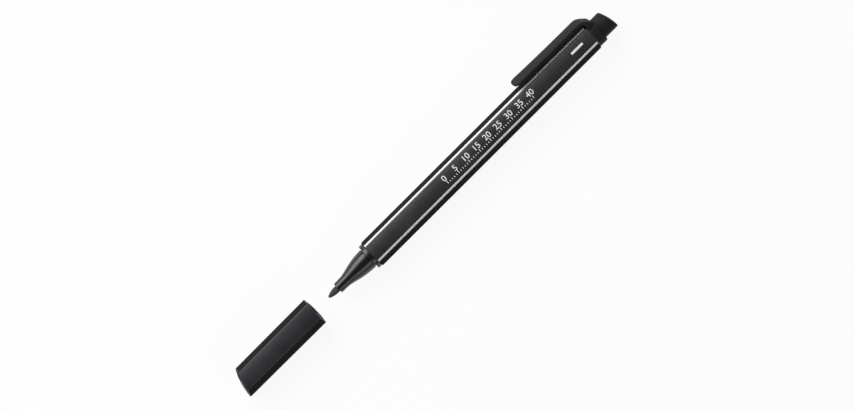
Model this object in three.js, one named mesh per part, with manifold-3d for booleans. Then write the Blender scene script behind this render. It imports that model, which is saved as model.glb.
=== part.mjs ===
// Felt-tip pen with a pull-off cap, a spring clip and a wrapped fibre ink reservoir.
// Millimetres, +Z up. The pen lies along X on a narrow face of its barrel, nib towards -X.
// The origin is on the surface that it lies on, under the middle of the barrel.
// Inside this file a place along the pen is counted from the barrel's front face.

import * as THREE from "three";
import { mergeVertices, toCreasedNormals } from "three/addons/utils/BufferGeometryUtils.js";
import Module from "manifold-3d";

const wasm = await Module();
wasm.setup();

// Barrel: a tube of three wide crowned faces and three narrow flat ones, in turn
const BARREL_LENGTH = 103.2;
const WIDE_FACE = 4.5; // axis to the middle of a wide face
const NARROW_FACE = 4.98; // axis to a narrow face
const CROWN_RADIUS = 17; // curve across a wide face
const BARREL_EDGE = 0.45; // rounding of the six edges
const BARREL_WALL = 0.75; // thinnest, in the middle of a wide face
const TURNED_END = 1.1; // a cone of this length turns each end down to the round piece beside it
const RIB_COUNT = 6;
const RIB_WIDTH = 0.6;

// Nib section: ring, swept nose, neck and the spigot that is pressed into the barrel
const RING_THICKNESS = 1.3;
const RING_SETBACK = 0.08; // the ring stays just above the surface the pen lies on
const NOSE_GROOVE = 0.35; // width of the groove that sets the nose off from the ring
const NOSE_GROOVE_DEPTH = 0.3;
const NOSE_LENGTH = 15.85; // barrel face to the end of the neck
const NOSE_CLEARANCE = 0.2; // nose base inside the cap's bore
const NOSE_SWELL = 0.53; // share of the sweep's length that stays full behind the nose
const NOSE_FLARE = 0.25; // share of it that runs straight into the neck
const NECK_RADIUS = 2.04;
const NECK_LENGTH = 2.45;
const NECK_DRAFT = 0.05;
const FRONT_SPIGOT = 8;
const SPIGOT_WALL = 0.6;
const SEAT_DEPTH = 0.6; // the reservoir stops this far behind the barrel's front face

// Nib: a bonded fibre rod with a bullet point
const NIB_RADIUS = 1.165;
const NIB_PROTRUSION = 4.35;
const NIB_TIP_RADIUS = 0.5;
const NIB_TIP_BALL = 65; // degrees of the ball of the point on each side of the axis
const NIB_TAPER = 2.9; // from the ball's centre to the full radius
const NIB_IN_CORE = 7; // how deep the rod reaches into the reservoir

// Reservoir
const WRAP_THICKNESS = 0.09;

// Rear plug: spigot, collar, clip shoulder and the stub that the cap is posted on
const REAR_SPIGOT = 7;
const PLUG_WALL = 0.9; // of its hollow spigot
const COLLAR_THICKNESS = 3.1;
const COLLAR_SETBACK = 0.2;
const STUB_LENGTH = 5.47; // collar to the end, on the axis
const STUB_SLANT = 0.25; // its end slopes down towards the clip
const STUB_DOME = 16; // and is slightly domed
const STUB_EDGE = 0.5;
const STUB_HOLLOW = 1.8; // how far the plug's hollow reaches into the stub
const POST_CLEARANCE = 0.07; // stub inside the cap's bore

// Clip: a tapered arm over one narrow face
const CLIP_AZIMUTH = 60; // degrees from straight up, towards +Y
const CLIP_REACH = 30.3; // from its free end to the barrel's rear face
const CLIP_ROOT_LENGTH = 1.8; // the arm bends this far in front of the barrel's rear face
const CLIP_HEIGHT = 7.58; // axis to its outer face at the root
const CLIP_LIFT = 0.38; // how much further out the free end stands
const CLIP_SHOULDER_FLAT = 2; // how far its outer face runs on behind the bend
const CLIP_SHOULDER_SLOPE = 2.2; // length of the slope from there down to the collar
const CLIP_FLANK_LEAN = 14; // degrees that the shoulder's sides lean out on their way down to the collar
const CLIP_WIDTH = 5.5;
const CLIP_FLARE = 0.6; // how much wider the free end is
const CLIP_ROOT_THICKNESS = 1.45;
const CLIP_TIP_THICKNESS = 0.8;
const CLIP_NOSE = 2.3; // length of the rounded free end
const CLIP_NOSE_ROUND = 0.8; // exponents of its outline, where 1 is an ellipse: along the arm
const CLIP_NOSE_FULL = 0.7; // and across it
const CLIP_NOSE_THINNING = 0.25; // share of its thickness that each face loses there
const CLIP_EDGE = 0.5;
const CLIP_SLIT = 0.2; // bending room between the arm and its shoulder

// Cap: a moulded shell of the barrel's section, with a vent at its closed end
const CAP_LENGTH = 34.66; // on the axis
const CAP_PROUD = 0.1; // its wide faces stand this far out from the barrel's
const CAP_WALL = 0.6; // thinnest, in the middle of a wide face
const CAP_EDGE = 0.65;
const CAP_DRAFT = 0.025; // share of its width lost towards the closed end
const CAP_SLANT = 0.31; // its closed end slopes back on the clip's side
const CAP_DOME = 23;
const CAP_RIM = 0.35; // rounding round the closed end
const CAP_END_WALL = 1.2;
const CAP_SEAT_GAP = 0.15; // mouth to ring when the cap is on
const CAP_PULLED_OFF = 6.38; // mouth to nib tip, as the cap lies when it is off
const VENT_ARC = 60; // degrees round the axis
const VENT_WIDTH = 0.9;
const VENT_NOTCH = 0.7; // depth of the crescent in the closed end's rim
const VENT_NOTCH_RADIUS = 4.2;

// Cap seal: a cup that closes over the neck, held in the shell by fins that let air past
const SEAL_OVERLAP = 2.2;
const SEAL_CLEARANCE = 0.05;
const SEAL_WALL = 0.8;
const SEAL_LEAD_IN = 0.4;
const SEAL_NIB_ROOM = 1;
const SEAL_SHELF = 0.65; // step in the shell's bore that the fins stop on
const FIN_COUNT = 6;
const FIN_WIDTH = 0.8;

// Fits and fineness shared by the pieces
const PRESS_GAP = 0.02; // radial, between pieces that are pushed together for good
const SLIP_GAP = 0.1; // between pieces that only guide each other
const SMALL_CHAMFER = 0.15;
const ROUND_STEPS = 48; // facets of every round surface
const EDGE_STEPS = 4; // facets of a rounded edge
const CROWN_STEPS = 6; // facets across a wide face
const SWEEP_STEPS = 12; // stations along a free curve
const DOME_STEPS = 4; // rings between a domed end's edge and its middle
const ROUNDING_LIMIT = 0.45; // largest share of a bar's thickness that one rounded edge takes
const OVERCUT = 1; // how far a cutter runs past what it cuts
const MERGE_DISTANCE = 1e-4;
const CREASE_ANGLE = 0.5; // radians: sharper edges are drawn crisp

// Sizes that follow from the ones above
const barrelBore = WIDE_FACE - BARREL_WALL;
const spigotRadius = barrelBore - PRESS_GAP;
const socketRadius = spigotRadius - SPIGOT_WALL;
const wrapRadius = socketRadius - PRESS_GAP;
const coreRadius = wrapRadius - WRAP_THICKNESS - PRESS_GAP;
const reservoirEnd = BARREL_LENGTH - REAR_SPIGOT - SLIP_GAP;
const capFace = WIDE_FACE + CAP_PROUD;
const capBore = capFace - CAP_WALL;
const noseRadius = capBore - NOSE_CLEARANCE;
const stubRadius = capBore - POST_CLEARANCE;
const ringRadius = NARROW_FACE - RING_SETBACK;
const collarRadius = NARROW_FACE - COLLAR_SETBACK;
const collarEnd = BARREL_LENGTH + COLLAR_THICKNESS;
const nibTip = -NOSE_LENGTH - NIB_PROTRUSION;
const capMouth = nibTip - CAP_PULLED_OFF;
const clipBend = BARREL_LENGTH - CLIP_ROOT_LENGTH;
const clipTip = BARREL_LENGTH - CLIP_REACH;
const clipAngle = THREE.MathUtils.degToRad(CLIP_AZIMUTH);

// Depths inside the cap, counted from its mouth, that follow from the pen's nose when it is on
const neckDepth = NOSE_LENGTH - RING_THICKNESS - CAP_SEAT_GAP;
const sealMouth = neckDepth - SEAL_OVERLAP;
const sealFloor = neckDepth + NIB_PROTRUSION + SEAL_NIB_ROOM;
const sealEnd = sealFloor + SEAL_WALL;

// A closed geometry as a solid that can be joined and cut
function solid(geometry) {
  const bare = geometry.clone();
  bare.deleteAttribute("normal");
  bare.deleteAttribute("uv");
  const merged = mergeVertices(bare, MERGE_DISTANCE);
  return new wasm.Manifold(
    new wasm.Mesh({
      numProp: 3,
      vertProperties: merged.attributes.position.array,
      triVerts: merged.index.array,
    }),
  );
}

// A solid as a named mesh, smooth over its curves and crisp at its edges
function piece(name, shape, look) {
  const { vertProperties, triVerts } = shape.getMesh();
  const geometry = new THREE.BufferGeometry();
  geometry.setAttribute("position", new THREE.BufferAttribute(vertProperties, 3));
  geometry.setIndex(new THREE.BufferAttribute(triVerts, 1));
  const material = new THREE.MeshStandardMaterial(look);
  const mesh = new THREE.Mesh(toCreasedNormals(geometry, CREASE_ANGLE), material);
  mesh.name = name;
  return mesh;
}

// A turned form round X, from [place along X, radius] pairs that start and end on the axis or meet
function turned(profile) {
  const points = profile.map(([x, radius]) => new THREE.Vector2(radius, x));
  return solid(new THREE.LatheGeometry(points, ROUND_STEPS).rotateZ(-Math.PI / 2));
}

// A straight round form from one place along X to another
function rod(start, end, radius) {
  return turned([[start, 0], [start, radius], [end, radius], [end, 0]]);
}

// A skin over rings of points, which run round X from +Y to +Z and follow each other along +X
function loft(rings) {
  const count = rings[0].length;
  const middle = (ring) =>
    ring.reduce((sum, point) => sum.add(point), new THREE.Vector3()).divideScalar(count);
  const points = [...rings.flat(), middle(rings[0]), middle(rings.at(-1))];
  const triangles = [];
  const lastRing = count * (rings.length - 1);
  for (let j = 0; j < count; j++) {
    const next = (j + 1) % count;
    triangles.push(points.length - 2, next, j);
    triangles.push(points.length - 1, lastRing + j, lastRing + next);
    for (let start = 0; start < lastRing; start += count) {
      triangles.push(start + j, start + next, start + count + j);
      triangles.push(start + next, start + count + next, start + count + j);
    }
  }
  return solid(new THREE.BufferGeometry().setFromPoints(points).setIndex(triangles));
}

// Half of the wide face on top and the rounded edge that ends it at the narrow face, which is
// 60 degrees round towards +Y, as { y, z } points. The edge's centre lies its own radius inside both faces.
function sectionCorner(edge, wideFace) {
  const crownCentre = wideFace - CROWN_RADIUS;
  const narrowAngle = Math.PI / 3;
  const normal = new THREE.Vector2(Math.sin(narrowAngle), Math.cos(narrowAngle));
  const towardsWide = new THREE.Vector2(-normal.y, normal.x);
  const onNarrow = normal.clone().multiplyScalar(NARROW_FACE - edge);
  const fromCrown = onNarrow.clone().sub(new THREE.Vector2(0, crownCentre));
  const half = towardsWide.dot(fromCrown);
  const reach = Math.sqrt(half ** 2 + (CROWN_RADIUS - edge) ** 2 - fromCrown.lengthSq()) - half;
  const edgeCentre = onNarrow.clone().addScaledVector(towardsWide, reach);
  const crownAngle = Math.atan2(edgeCentre.x, edgeCentre.y - crownCentre);
  const points = [];
  for (let i = 0; i < CROWN_STEPS / 2; i++) {
    const turn = (crownAngle * i) / (CROWN_STEPS / 2);
    points.push({ y: CROWN_RADIUS * Math.sin(turn), z: crownCentre + CROWN_RADIUS * Math.cos(turn) });
  }
  for (let i = 0; i <= EDGE_STEPS; i++) {
    const turn = THREE.MathUtils.lerp(crownAngle, narrowAngle, i / EDGE_STEPS);
    points.push({ y: edgeCentre.x + edge * Math.sin(turn), z: edgeCentre.y + edge * Math.cos(turn) });
  }
  return points;
}

// The whole section, as points in order round X from +Y to +Z
function penSection(edge, wideFace) {
  const corner = sectionCorner(edge, wideFace);
  const mirrored = corner.slice(1).map(({ y, z }) => ({ y: -y, z }));
  const third = [...corner.toReversed(), ...mirrored];
  return [0, 1, 2].flatMap((face) => {
    const turn = (face * 2 * Math.PI) / 3;
    const [sin, cos] = [Math.sin(turn), Math.cos(turn)];
    return third.map(({ y, z }) => ({ y: y * cos - z * sin, z: y * sin + z * cos }));
  });
}

// The section as a ring at one place along X, at a share of its full width
function sectionRing(section, x, share = 1) {
  return section.map(({ y, z }) => new THREE.Vector3(x, y * share, z * share));
}

// How far a point of the section lies towards the clip
function towardsClip({ y, z }) {
  return y * Math.sin(clipAngle) + z * Math.cos(clipAngle);
}

// A form modelled with the clip straight up, turned to the clip's real place
function turnToClip(shape) {
  return shape.rotate([-CLIP_AZIMUTH, 0, 0]);
}

// A block along X that stands between two heights above the axis
function radialBlock(start, end, width, low, high) {
  const block = new THREE.BoxGeometry(end - start, width, high - low);
  return solid(block.translate((start + end) / 2, 0, (low + high) / 2));
}

// Copies of a form, evenly round X
function aroundAxis(shape, count) {
  const copies = Array.from({ length: count }, (_, i) => shape.rotate([(360 * i) / count, 0, 0]));
  return copies.reduce((sum, copy) => sum.add(copy));
}

function makeBarrel() {
  const section = penSection(BARREL_EDGE, WIDE_FACE);
  const prism = loft([sectionRing(section, 0), sectionRing(section, BARREL_LENGTH)]);
  const blank = turned([
    [0, 0],
    [0, ringRadius],
    [TURNED_END, ringRadius + TURNED_END],
    [BARREL_LENGTH - TURNED_END, collarRadius + TURNED_END],
    [BARREL_LENGTH, collarRadius],
    [BARREL_LENGTH, 0],
  ]);
  const bore = rod(-OVERCUT, BARREL_LENGTH + OVERCUT, barrelBore);
  const ribStart = FRONT_SPIGOT + SLIP_GAP;
  const ribEnd = BARREL_LENGTH - REAR_SPIGOT - SLIP_GAP;
  const rib = radialBlock(ribStart, ribEnd, RIB_WIDTH, wrapRadius + SLIP_GAP, WIDE_FACE - SMALL_CHAMFER);
  return prism.intersect(blank).subtract(bore).add(aroundAxis(rib, RIB_COUNT));
}

// The nose's outline from the groove to the neck: a swell that flares into the neck
function noseSweep() {
  const start = new THREE.Vector2(-RING_THICKNESS - NOSE_GROOVE, noseRadius);
  const end = new THREE.Vector2(-NOSE_LENGTH + NECK_LENGTH, NECK_RADIUS);
  const length = start.x - end.x;
  const curve = new THREE.CubicBezierCurve(
    start,
    new THREE.Vector2(start.x - NOSE_SWELL * length, start.y),
    new THREE.Vector2(end.x + NOSE_FLARE * length, end.y),
    end,
  );
  return curve.getPoints(SWEEP_STEPS).map(({ x, y }) => [x, y]);
}

function makeNibSection() {
  const neckEnd = NECK_RADIUS - NECK_DRAFT;
  const nibBore = NIB_RADIUS + PRESS_GAP;
  const grooveRadius = noseRadius - NOSE_GROOVE_DEPTH;
  return turned([
    [-NOSE_LENGTH, nibBore],
    [-NOSE_LENGTH, neckEnd - SMALL_CHAMFER],
    [-NOSE_LENGTH + SMALL_CHAMFER, neckEnd],
    ...noseSweep().toReversed(),
    [-RING_THICKNESS - NOSE_GROOVE, grooveRadius],
    [-RING_THICKNESS, grooveRadius],
    [-RING_THICKNESS, ringRadius - SMALL_CHAMFER],
    [-RING_THICKNESS + SMALL_CHAMFER, ringRadius],
    [0, ringRadius],
    [0, spigotRadius],
    [FRONT_SPIGOT - SMALL_CHAMFER, spigotRadius],
    [FRONT_SPIGOT, spigotRadius - SMALL_CHAMFER],
    [FRONT_SPIGOT, socketRadius],
    [SEAT_DEPTH - SLIP_GAP, socketRadius],
    [SEAT_DEPTH - SLIP_GAP, nibBore],
    [-NOSE_LENGTH, nibBore],
  ]);
}

// The nib's outline from its tip to its full radius: the ball of the point, then an ogive
function nibPoint() {
  const ballEnd = THREE.MathUtils.degToRad(NIB_TIP_BALL);
  const ball = Array.from({ length: EDGE_STEPS }, (_, i) => {
    const turn = (ballEnd * i) / EDGE_STEPS;
    return [nibTip + NIB_TIP_RADIUS * (1 - Math.cos(turn)), NIB_TIP_RADIUS * Math.sin(turn)];
  });
  const start = new THREE.Vector2(
    nibTip + NIB_TIP_RADIUS * (1 - Math.cos(ballEnd)),
    NIB_TIP_RADIUS * Math.sin(ballEnd),
  );
  const end = new THREE.Vector2(nibTip + NIB_TIP_RADIUS + NIB_TAPER, NIB_RADIUS);
  const lead = NIB_TAPER / 3;
  const curve = new THREE.CubicBezierCurve(
    start,
    new THREE.Vector2(start.x + lead, start.y + lead / Math.tan(ballEnd)),
    new THREE.Vector2(end.x - lead, end.y),
    end,
  );
  return [...ball, ...curve.getPoints(SWEEP_STEPS / 2).map(({ x, y }) => [x, y])];
}

function makeNib() {
  const rear = SEAT_DEPTH + NIB_IN_CORE;
  return turned([
    ...nibPoint(),
    [rear - SMALL_CHAMFER, NIB_RADIUS],
    [rear, NIB_RADIUS - SMALL_CHAMFER],
    [rear, 0],
  ]);
}

function makeInkReservoir() {
  const nibHole = rod(SEAT_DEPTH - OVERCUT, SEAT_DEPTH + NIB_IN_CORE + PRESS_GAP, NIB_RADIUS + PRESS_GAP);
  return rod(SEAT_DEPTH, reservoirEnd, coreRadius).subtract(nibHole);
}

function makeReservoirWrap() {
  const inside = wrapRadius - WRAP_THICKNESS;
  return turned([
    [SEAT_DEPTH, inside],
    [SEAT_DEPTH, wrapRadius],
    [reservoirEnd, wrapRadius],
    [reservoirEnd, inside],
    [SEAT_DEPTH, inside],
  ]);
}

// Rings that round a section over into a shaped end: endAt gives the end's place along X at a point,
// and outward is 1 where the end faces +X and -1 where it faces -X
function roundedEnd(section, endAt, edge, outward) {
  const reach = Math.max(...section.map(({ y, z }) => Math.hypot(y, z)));
  const ringAt = (inset, drop) => {
    const share = 1 - inset / reach;
    return section.map(({ y, z }) => {
      const point = { y: y * share, z: z * share };
      return new THREE.Vector3(endAt(point) - outward * drop, point.y, point.z);
    });
  };
  const rounding = Array.from({ length: EDGE_STEPS }, (_, i) => {
    const turn = ((Math.PI / 2) * i) / EDGE_STEPS;
    return ringAt(edge * (1 - Math.cos(turn)), edge * (1 - Math.sin(turn)));
  });
  const dome = Array.from({ length: DOME_STEPS }, (_, i) =>
    ringAt(THREE.MathUtils.lerp(edge, reach, i / DOME_STEPS), 0),
  );
  return [...rounding, ...dome];
}

// A round stub whose end is domed and slopes down towards the clip
function makeStub() {
  const circle = Array.from({ length: ROUND_STEPS }, (_, i) => {
    const turn = (2 * Math.PI * i) / ROUND_STEPS;
    return { y: stubRadius * Math.cos(turn), z: stubRadius * Math.sin(turn) };
  });
  const endAt = ({ y, z }) =>
    collarEnd + STUB_LENGTH - STUB_SLANT * towardsClip({ y, z }) - (y * y + z * z) / (2 * STUB_DOME);
  const foot = sectionRing(circle, collarEnd - SMALL_CHAMFER);
  return loft([foot, ...roundedEnd(circle, endAt, STUB_EDGE, 1)]);
}

// The clip's cross-section at one place along X: a flat bar with rounded edges, standing upright,
// whose underside is wider than its top by the spread on each side
function clipRing(x, halfWidth, top, bottom, spread = 0) {
  const radius = Math.min(CLIP_EDGE, ROUNDING_LIMIT * (top - bottom), ROUNDING_LIMIT * 2 * halfWidth);
  const centres = [
    [halfWidth - radius, top - radius, 0],
    [radius - halfWidth, top - radius, 1],
    [radius - halfWidth, bottom + radius, 2],
    [halfWidth - radius, bottom + radius, 3],
  ];
  return centres.flatMap(([y, z, quarter]) =>
    Array.from({ length: EDGE_STEPS + 1 }, (_, i) => {
      const turn = (Math.PI / 2) * (quarter + i / EDGE_STEPS);
      const height = z + radius * Math.sin(turn);
      const wider = 1 + ((spread / halfWidth) * (top - height)) / (top - bottom);
      return new THREE.Vector3(x, (y + radius * Math.cos(turn)) * wider, height);
    }),
  );
}

// The arm rises and widens towards its free end, which is rounded off in plan and in side view
function makeClipArm() {
  const rearEnd = clipBend - CLIP_SLIT;
  const length = rearEnd - clipTip;
  const ringAt = (x, fullness) => {
    const run = (rearEnd - x) / length;
    const halfWidth = ((CLIP_WIDTH + CLIP_FLARE * run ** 2) / 2) * fullness;
    const top = CLIP_HEIGHT + CLIP_LIFT * run ** 2;
    const thickness = THREE.MathUtils.lerp(CLIP_ROOT_THICKNESS, CLIP_TIP_THICKNESS, run);
    const thinning = thickness * (1 - fullness) * CLIP_NOSE_THINNING;
    return clipRing(x, halfWidth, top - thinning, top - thickness + thinning);
  };
  const nose = Array.from({ length: SWEEP_STEPS / 2 }, (_, i) => {
    const turn = ((Math.PI / 2) * (i + 0.5)) / (SWEEP_STEPS / 2);
    const x = clipTip + CLIP_NOSE * (1 - Math.cos(turn) ** CLIP_NOSE_ROUND);
    return ringAt(x, Math.sin(turn) ** CLIP_NOSE_FULL);
  });
  const arm = Array.from({ length: SWEEP_STEPS + 1 }, (_, i) =>
    ringAt(THREE.MathUtils.lerp(clipTip + CLIP_NOSE, rearEnd, i / SWEEP_STEPS), 1),
  );
  return turnToClip(loft([...nose, ...arm]));
}

// The shoulder carries the arm: behind the bend it rounds over into a slope of 45 degrees, which
// ends at the collar's rear edge, and its sides lean out down to where it sinks into the collar
function makeClipShoulder() {
  const foot = new THREE.Vector2(collarEnd - SMALL_CHAMFER, collarRadius);
  const top = new THREE.CubicBezierCurve(
    new THREE.Vector2(clipBend, CLIP_HEIGHT),
    new THREE.Vector2(clipBend + CLIP_SHOULDER_FLAT, CLIP_HEIGHT),
    new THREE.Vector2(foot.x - CLIP_SHOULDER_SLOPE, foot.y + CLIP_SHOULDER_SLOPE),
    foot,
  );
  const bottom = CLIP_HEIGHT - CLIP_ROOT_THICKNESS;
  const filletEnd = BARREL_LENGTH + COLLAR_THICKNESS / 4;
  const lean = Math.tan(THREE.MathUtils.degToRad(CLIP_FLANK_LEAN));
  const rings = top.getPoints(SWEEP_STEPS).map(({ x, y }) => {
    const sunk = THREE.MathUtils.smoothstep(x, BARREL_LENGTH, filletEnd);
    const underside = THREE.MathUtils.lerp(bottom, collarRadius / 2, sunk);
    return clipRing(x, CLIP_WIDTH / 2, y, underside, lean * sunk * (y - underside));
  });
  return turnToClip(loft(rings));
}

function makeRearPlug() {
  const spigotStart = BARREL_LENGTH - REAR_SPIGOT;
  const turnedBody = turned([
    [spigotStart, 0],
    [spigotStart, spigotRadius - SMALL_CHAMFER],
    [spigotStart + SMALL_CHAMFER, spigotRadius],
    [BARREL_LENGTH, spigotRadius],
    [BARREL_LENGTH, collarRadius],
    [collarEnd - SMALL_CHAMFER, collarRadius],
    [collarEnd, collarRadius - SMALL_CHAMFER],
    [collarEnd, 0],
  ]);
  const coreOut = rod(spigotStart - OVERCUT, collarEnd + STUB_HOLLOW, spigotRadius - PLUG_WALL);
  return turnedBody.add(makeClipShoulder()).add(makeStub()).subtract(coreOut);
}

// Where the cap's closed end lies along X at a point of its section
function capEndAt({ y, z }) {
  return capMouth - CAP_LENGTH + CAP_SLANT * towardsClip({ y, z }) + (y * y + z * z) / (2 * CAP_DOME);
}

// The vent: an arc-shaped slot through the closed end, and a crescent notch in the rim outside it
function makeVent(boreRadius) {
  const start = capMouth - CAP_LENGTH - 2 * OVERCUT;
  const end = capMouth - CAP_LENGTH / 2;
  const core = rod(start - OVERCUT, end + OVERCUT, boreRadius - VENT_WIDTH);
  const ring = rod(start, end, boreRadius).subtract(core);
  const shape = new THREE.Shape();
  const halfArc = THREE.MathUtils.degToRad(VENT_ARC / 2);
  shape.moveTo(0, 0);
  shape.absarc(0, 0, 2 * NARROW_FACE, Math.PI / 2 - halfArc, Math.PI / 2 + halfArc);
  const wedge = new THREE.ExtrudeGeometry(shape, { depth: end - start, bevelEnabled: false });
  wedge.applyMatrix4(new THREE.Matrix4().makeBasis(
    new THREE.Vector3(0, 1, 0),
    new THREE.Vector3(0, 0, 1),
    new THREE.Vector3(1, 0, 0),
  ));
  wedge.translate(start, 0, 0);
  const rimEnd = capEndAt({
    y: NARROW_FACE * (1 - CAP_DRAFT) * Math.sin(clipAngle),
    z: NARROW_FACE * (1 - CAP_DRAFT) * Math.cos(clipAngle),
  });
  const scoop = new THREE.CylinderGeometry(VENT_NOTCH_RADIUS, VENT_NOTCH_RADIUS, NARROW_FACE, ROUND_STEPS);
  scoop.rotateX(Math.PI / 2);
  const scoopPlace = rimEnd + VENT_NOTCH - VENT_NOTCH_RADIUS;
  scoop.translate(scoopPlace, 0, boreRadius - VENT_WIDTH + NARROW_FACE / 2);
  return turnToClip(ring.intersect(solid(wedge)).add(solid(scoop)));
}

function makeCap() {
  const section = penSection(CAP_EDGE, capFace);
  const mouthEdge = sectionRing(section, capMouth, 1 - SMALL_CHAMFER / NARROW_FACE);
  const mouth = sectionRing(section, capMouth - SMALL_CHAMFER);
  const tapered = section.map(({ y, z }) => ({ y: y * (1 - CAP_DRAFT), z: z * (1 - CAP_DRAFT) }));
  const closedEnd = roundedEnd(tapered, capEndAt, CAP_RIM, -1);
  const shell = loft([...closedEnd.toReversed(), mouth, mouthEdge]);
  const innerBore = capBore - SEAL_SHELF;
  const shortSide = capEndAt({ y: innerBore * Math.sin(clipAngle), z: innerBore * Math.cos(clipAngle) });
  const hollow = turned([
    [shortSide + CAP_END_WALL, 0],
    [shortSide + CAP_END_WALL, innerBore],
    [capMouth - sealEnd - PRESS_GAP, innerBore],
    [capMouth - sealEnd - PRESS_GAP, capBore],
    [capMouth - SMALL_CHAMFER, capBore],
    [capMouth, capBore + SMALL_CHAMFER],
    [capMouth + OVERCUT, capBore + SMALL_CHAMFER],
    [capMouth + OVERCUT, 0],
  ]);
  return shell.subtract(hollow).subtract(makeVent(innerBore));
}

function makeCapSeal() {
  const inside = NECK_RADIUS + SEAL_CLEARANCE;
  const outside = inside + SEAL_WALL;
  const nibRoom = inside - SEAL_LEAD_IN;
  const cup = turned([
    [capMouth - sealEnd, 0],
    [capMouth - sealEnd, outside],
    [capMouth - sealMouth, outside],
    [capMouth - sealMouth, inside + SEAL_LEAD_IN],
    [capMouth - sealMouth - SEAL_LEAD_IN, inside],
    [capMouth - neckDepth - SLIP_GAP, inside],
    [capMouth - neckDepth - SEAL_LEAD_IN - SLIP_GAP, nibRoom],
    [capMouth - sealFloor, nibRoom],
    [capMouth - sealFloor, 0],
  ]);
  const finEnd = capMouth - sealMouth - SEAL_WALL;
  const finBase = outside - SMALL_CHAMFER;
  const fin = radialBlock(capMouth - sealEnd, finEnd, FIN_WIDTH, finBase, capBore);
  const fins = aroundAxis(fin, FIN_COUNT).intersect(rod(capMouth - sealEnd, finEnd, capBore - PRESS_GAP));
  return cup.add(fins);
}

const darkPlastic = { color: 0x332f36, roughness: 0.45, metalness: 0 };
const glossBlack = { color: 0x0d0e10, roughness: 0.12, metalness: 0 };
const mattBlack = { color: 0x2b2c2f, roughness: 0.7, metalness: 0 };

const pieces = [
  piece("barrel", makeBarrel(), darkPlastic),
  piece("nib_section", makeNibSection(), glossBlack),
  piece("nib", makeNib(), { color: 0x3c3c3e, roughness: 0.9, metalness: 0 }),
  piece("ink_reservoir", makeInkReservoir(), { color: 0x17161c, roughness: 1, metalness: 0 }),
  piece("reservoir_wrap", makeReservoirWrap(), { color: 0xd8d8d4, roughness: 0.3, metalness: 0 }),
  piece("rear_plug", makeRearPlug(), mattBlack),
  piece("clip_arm", makeClipArm(), mattBlack),
  piece("cap", makeCap(), darkPlastic),
  piece("cap_seal", makeCapSeal(), { color: 0x1c1c1e, roughness: 0.5, metalness: 0 }),
];

const pen = new THREE.Group();
pen.add(...pieces);
pen.position.set(-BARREL_LENGTH / 2, 0, NARROW_FACE);

export default pen;
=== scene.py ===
"""A felt-tip pen lying on a pale table with its cap pulled off, seen from above."""

from math import atan2, cos, pi, radians, sin, sqrt, tan

import bpy
from mathutils import Matrix, Vector
from mathutils.geometry import interpolate_bezier


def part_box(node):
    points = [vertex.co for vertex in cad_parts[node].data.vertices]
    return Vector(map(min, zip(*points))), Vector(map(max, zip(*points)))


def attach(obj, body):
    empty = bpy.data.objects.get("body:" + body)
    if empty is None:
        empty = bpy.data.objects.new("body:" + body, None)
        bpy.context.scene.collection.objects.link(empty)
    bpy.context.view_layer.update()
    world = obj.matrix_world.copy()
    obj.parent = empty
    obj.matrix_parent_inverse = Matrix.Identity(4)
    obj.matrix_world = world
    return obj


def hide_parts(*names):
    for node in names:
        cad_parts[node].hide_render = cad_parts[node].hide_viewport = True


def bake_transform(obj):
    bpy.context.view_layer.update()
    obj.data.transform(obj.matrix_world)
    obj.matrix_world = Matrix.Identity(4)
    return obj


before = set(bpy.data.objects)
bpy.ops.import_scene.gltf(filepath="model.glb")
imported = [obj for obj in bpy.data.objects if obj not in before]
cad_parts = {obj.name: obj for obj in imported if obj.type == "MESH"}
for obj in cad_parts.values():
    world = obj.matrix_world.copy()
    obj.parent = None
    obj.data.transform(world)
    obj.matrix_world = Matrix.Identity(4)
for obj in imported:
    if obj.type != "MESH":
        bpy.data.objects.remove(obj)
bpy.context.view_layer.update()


# Where things are. The pen lies along X on a narrow face of its barrel, with its nib towards -X.
# Pieces are modelled in millimetres round the pen's own axis, with X as in the frame, and are
# brought to the frame's metres and put at the axis' height when they are finished.

METRE = 1000  # millimetres


def ends(node):
    """The lowest and highest corner of a solid, in millimetres."""
    low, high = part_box(node)
    return low * METRE, high * METRE


barrel_low, barrel_high = ends("barrel")
nib_low, nib_high = ends("nib")
axis_height = (nib_low.z + nib_high.z) / 2
narrow_face = axis_height - barrel_low.z
wide_face = barrel_high.z - axis_height


# Camera. It stands about 0.63 m from the pen with a short telephoto lens, leans a little to the
# right-hand side of the pen and is turned so that the pen runs up the picture from left to right.

VIEW_CENTRE = Vector((-26.87, -1.31, 4.89)) / METRE
VIEW_DISTANCE = 0.6326
VIEW_LEAN = radians(3.4)
PEN_TURN = radians(44.93)
LENS = 80  # millimetres
SENSOR_WIDTH = 36  # millimetres

view_from = Vector((0, -sin(VIEW_LEAN), cos(VIEW_LEAN)))
page_up = Vector((0, cos(VIEW_LEAN), sin(VIEW_LEAN)))
camera_right = Vector((cos(PEN_TURN), 0, 0)) - page_up * sin(PEN_TURN)
camera_up = Vector((sin(PEN_TURN), 0, 0)) + page_up * cos(PEN_TURN)

bpy.ops.object.camera_add()
camera = bpy.context.object
camera.data.lens = LENS
camera.data.sensor_width = SENSOR_WIDTH
camera.matrix_world = Matrix.Translation(VIEW_CENTRE + view_from * VIEW_DISTANCE) @ (
    Matrix((camera_right, camera_up, view_from)).transposed().to_4x4()
)
bpy.context.scene.camera = camera


# Table and light. A white sheet takes the pen's soft shadow. A large softbox on the left-hand side
# of the pen draws the bright line on its nose, and a smaller, weaker one on the right draws the
# second. The grey of the studio fills in what they leave.

FLOOR_SIZE = 8  # metres
FLOOR_WHITE = 0.9
BACKGROUND_SHARE = 0.92  # how much of the floor's look is plain background white
STUDIO_GREY = 0.1  # strength of the light from all round

bpy.context.scene.view_settings.view_transform = "Standard"


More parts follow.
